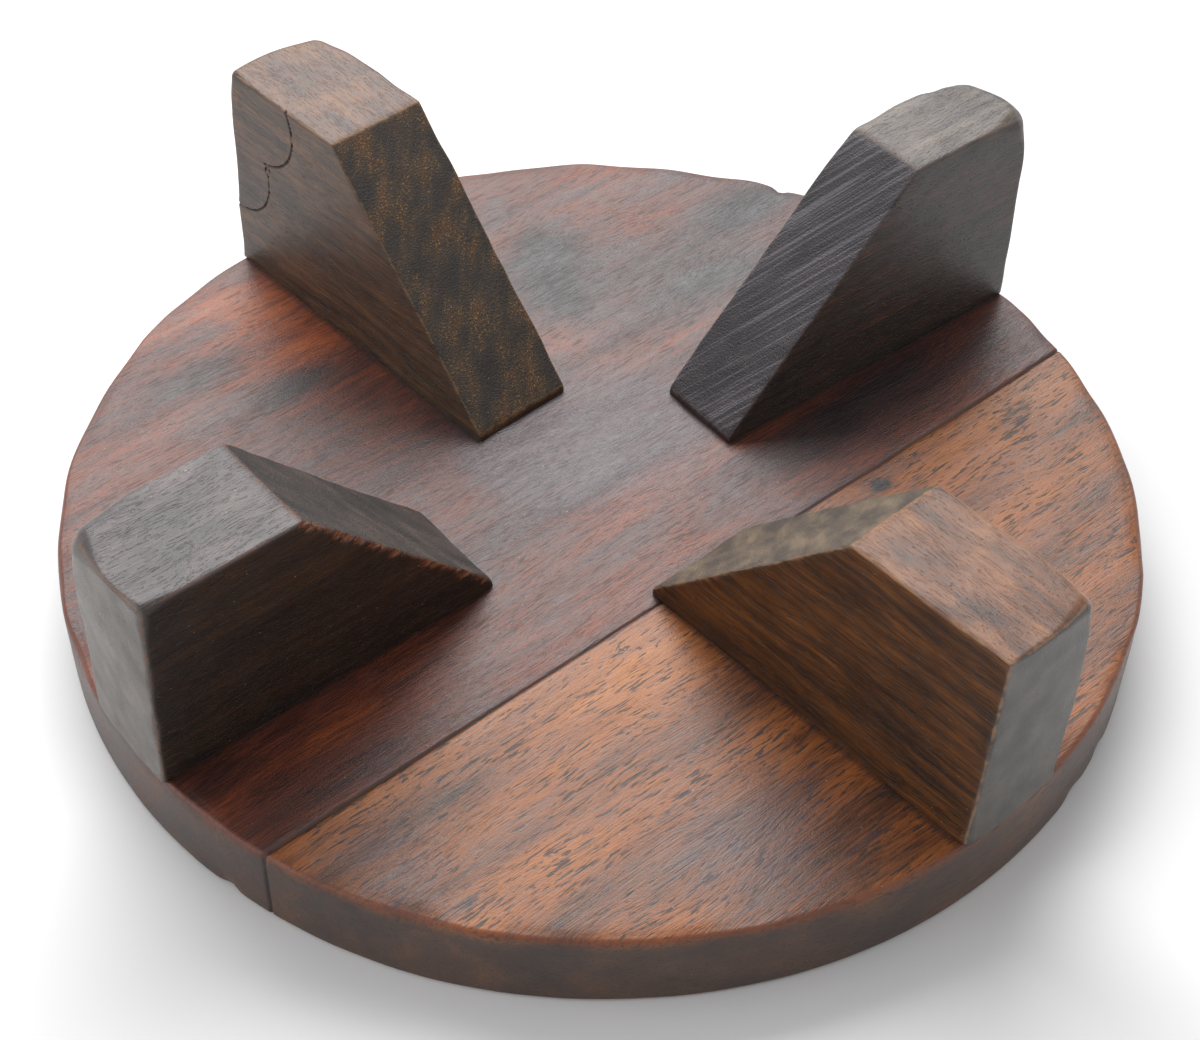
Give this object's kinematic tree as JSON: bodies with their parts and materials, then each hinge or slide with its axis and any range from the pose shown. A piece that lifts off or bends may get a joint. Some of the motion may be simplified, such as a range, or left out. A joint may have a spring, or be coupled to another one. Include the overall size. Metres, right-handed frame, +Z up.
{
  "type": "sweet mould board",
  "caption": "Round hardwood mould board on wedge feet: joined planks, a shallow carved hollow in the working face, and feet with long inner slopes held by hidden dowels.",
  "frame": {"origin": "centre of the working face's underside, on the surface that the board lies on", "axes": "+Z up through the feet, at right angles to the working face; +X to the right and +Y away from the camera in the picture. In use the part is turned over and stands on its soles."},
  "size_m": [0.24, 0.24, 0.073],
  "materials": {
    "red_board_wood": "old oiled red-brown hardwood with a dark greasy film and fine scratches",
    "streaked_board_wood": "worn orange-brown hardwood with black streaks along the grain",
    "back_left_foot_wood": "dusty grey-brown hardwood with golden end grain and a lobed crack",
    "back_right_foot_wood": "dark purplish-brown hardwood with saw marks and a dusty worn sole",
    "front_left_foot_wood": "nearly black hardwood with a grey weathered heel and a worn sole",
    "front_right_foot_wood": "golden-brown hardwood with bold grain and a pale dusty sole",
    "dowel_wood": "plain pale hardwood dowel, unfinished"
  },
  "bodies": {
    "root": {"wide_board": "red_board_wood", "narrow_board": "streaked_board_wood", "back_left_foot": "back_left_foot_wood", "back_right_foot": "back_right_foot_wood", "front_left_foot": "front_left_foot_wood", "front_right_foot": "front_right_foot_wood", "back_left_toe_dowel": "dowel_wood", "back_left_heel_dowel": "dowel_wood", "back_right_toe_dowel": "dowel_wood", "back_right_heel_dowel": "dowel_wood", "front_left_toe_dowel": "dowel_wood", "front_left_heel_dowel": "dowel_wood", "front_right_toe_dowel": "dowel_wood", "front_right_heel_dowel": "dowel_wood", "joint_dowel_1": "dowel_wood", "joint_dowel_2": "dowel_wood", "joint_dowel_3": "dowel_wood", "joint_dowel_4": "dowel_wood"}
  },
  "joints": []
}
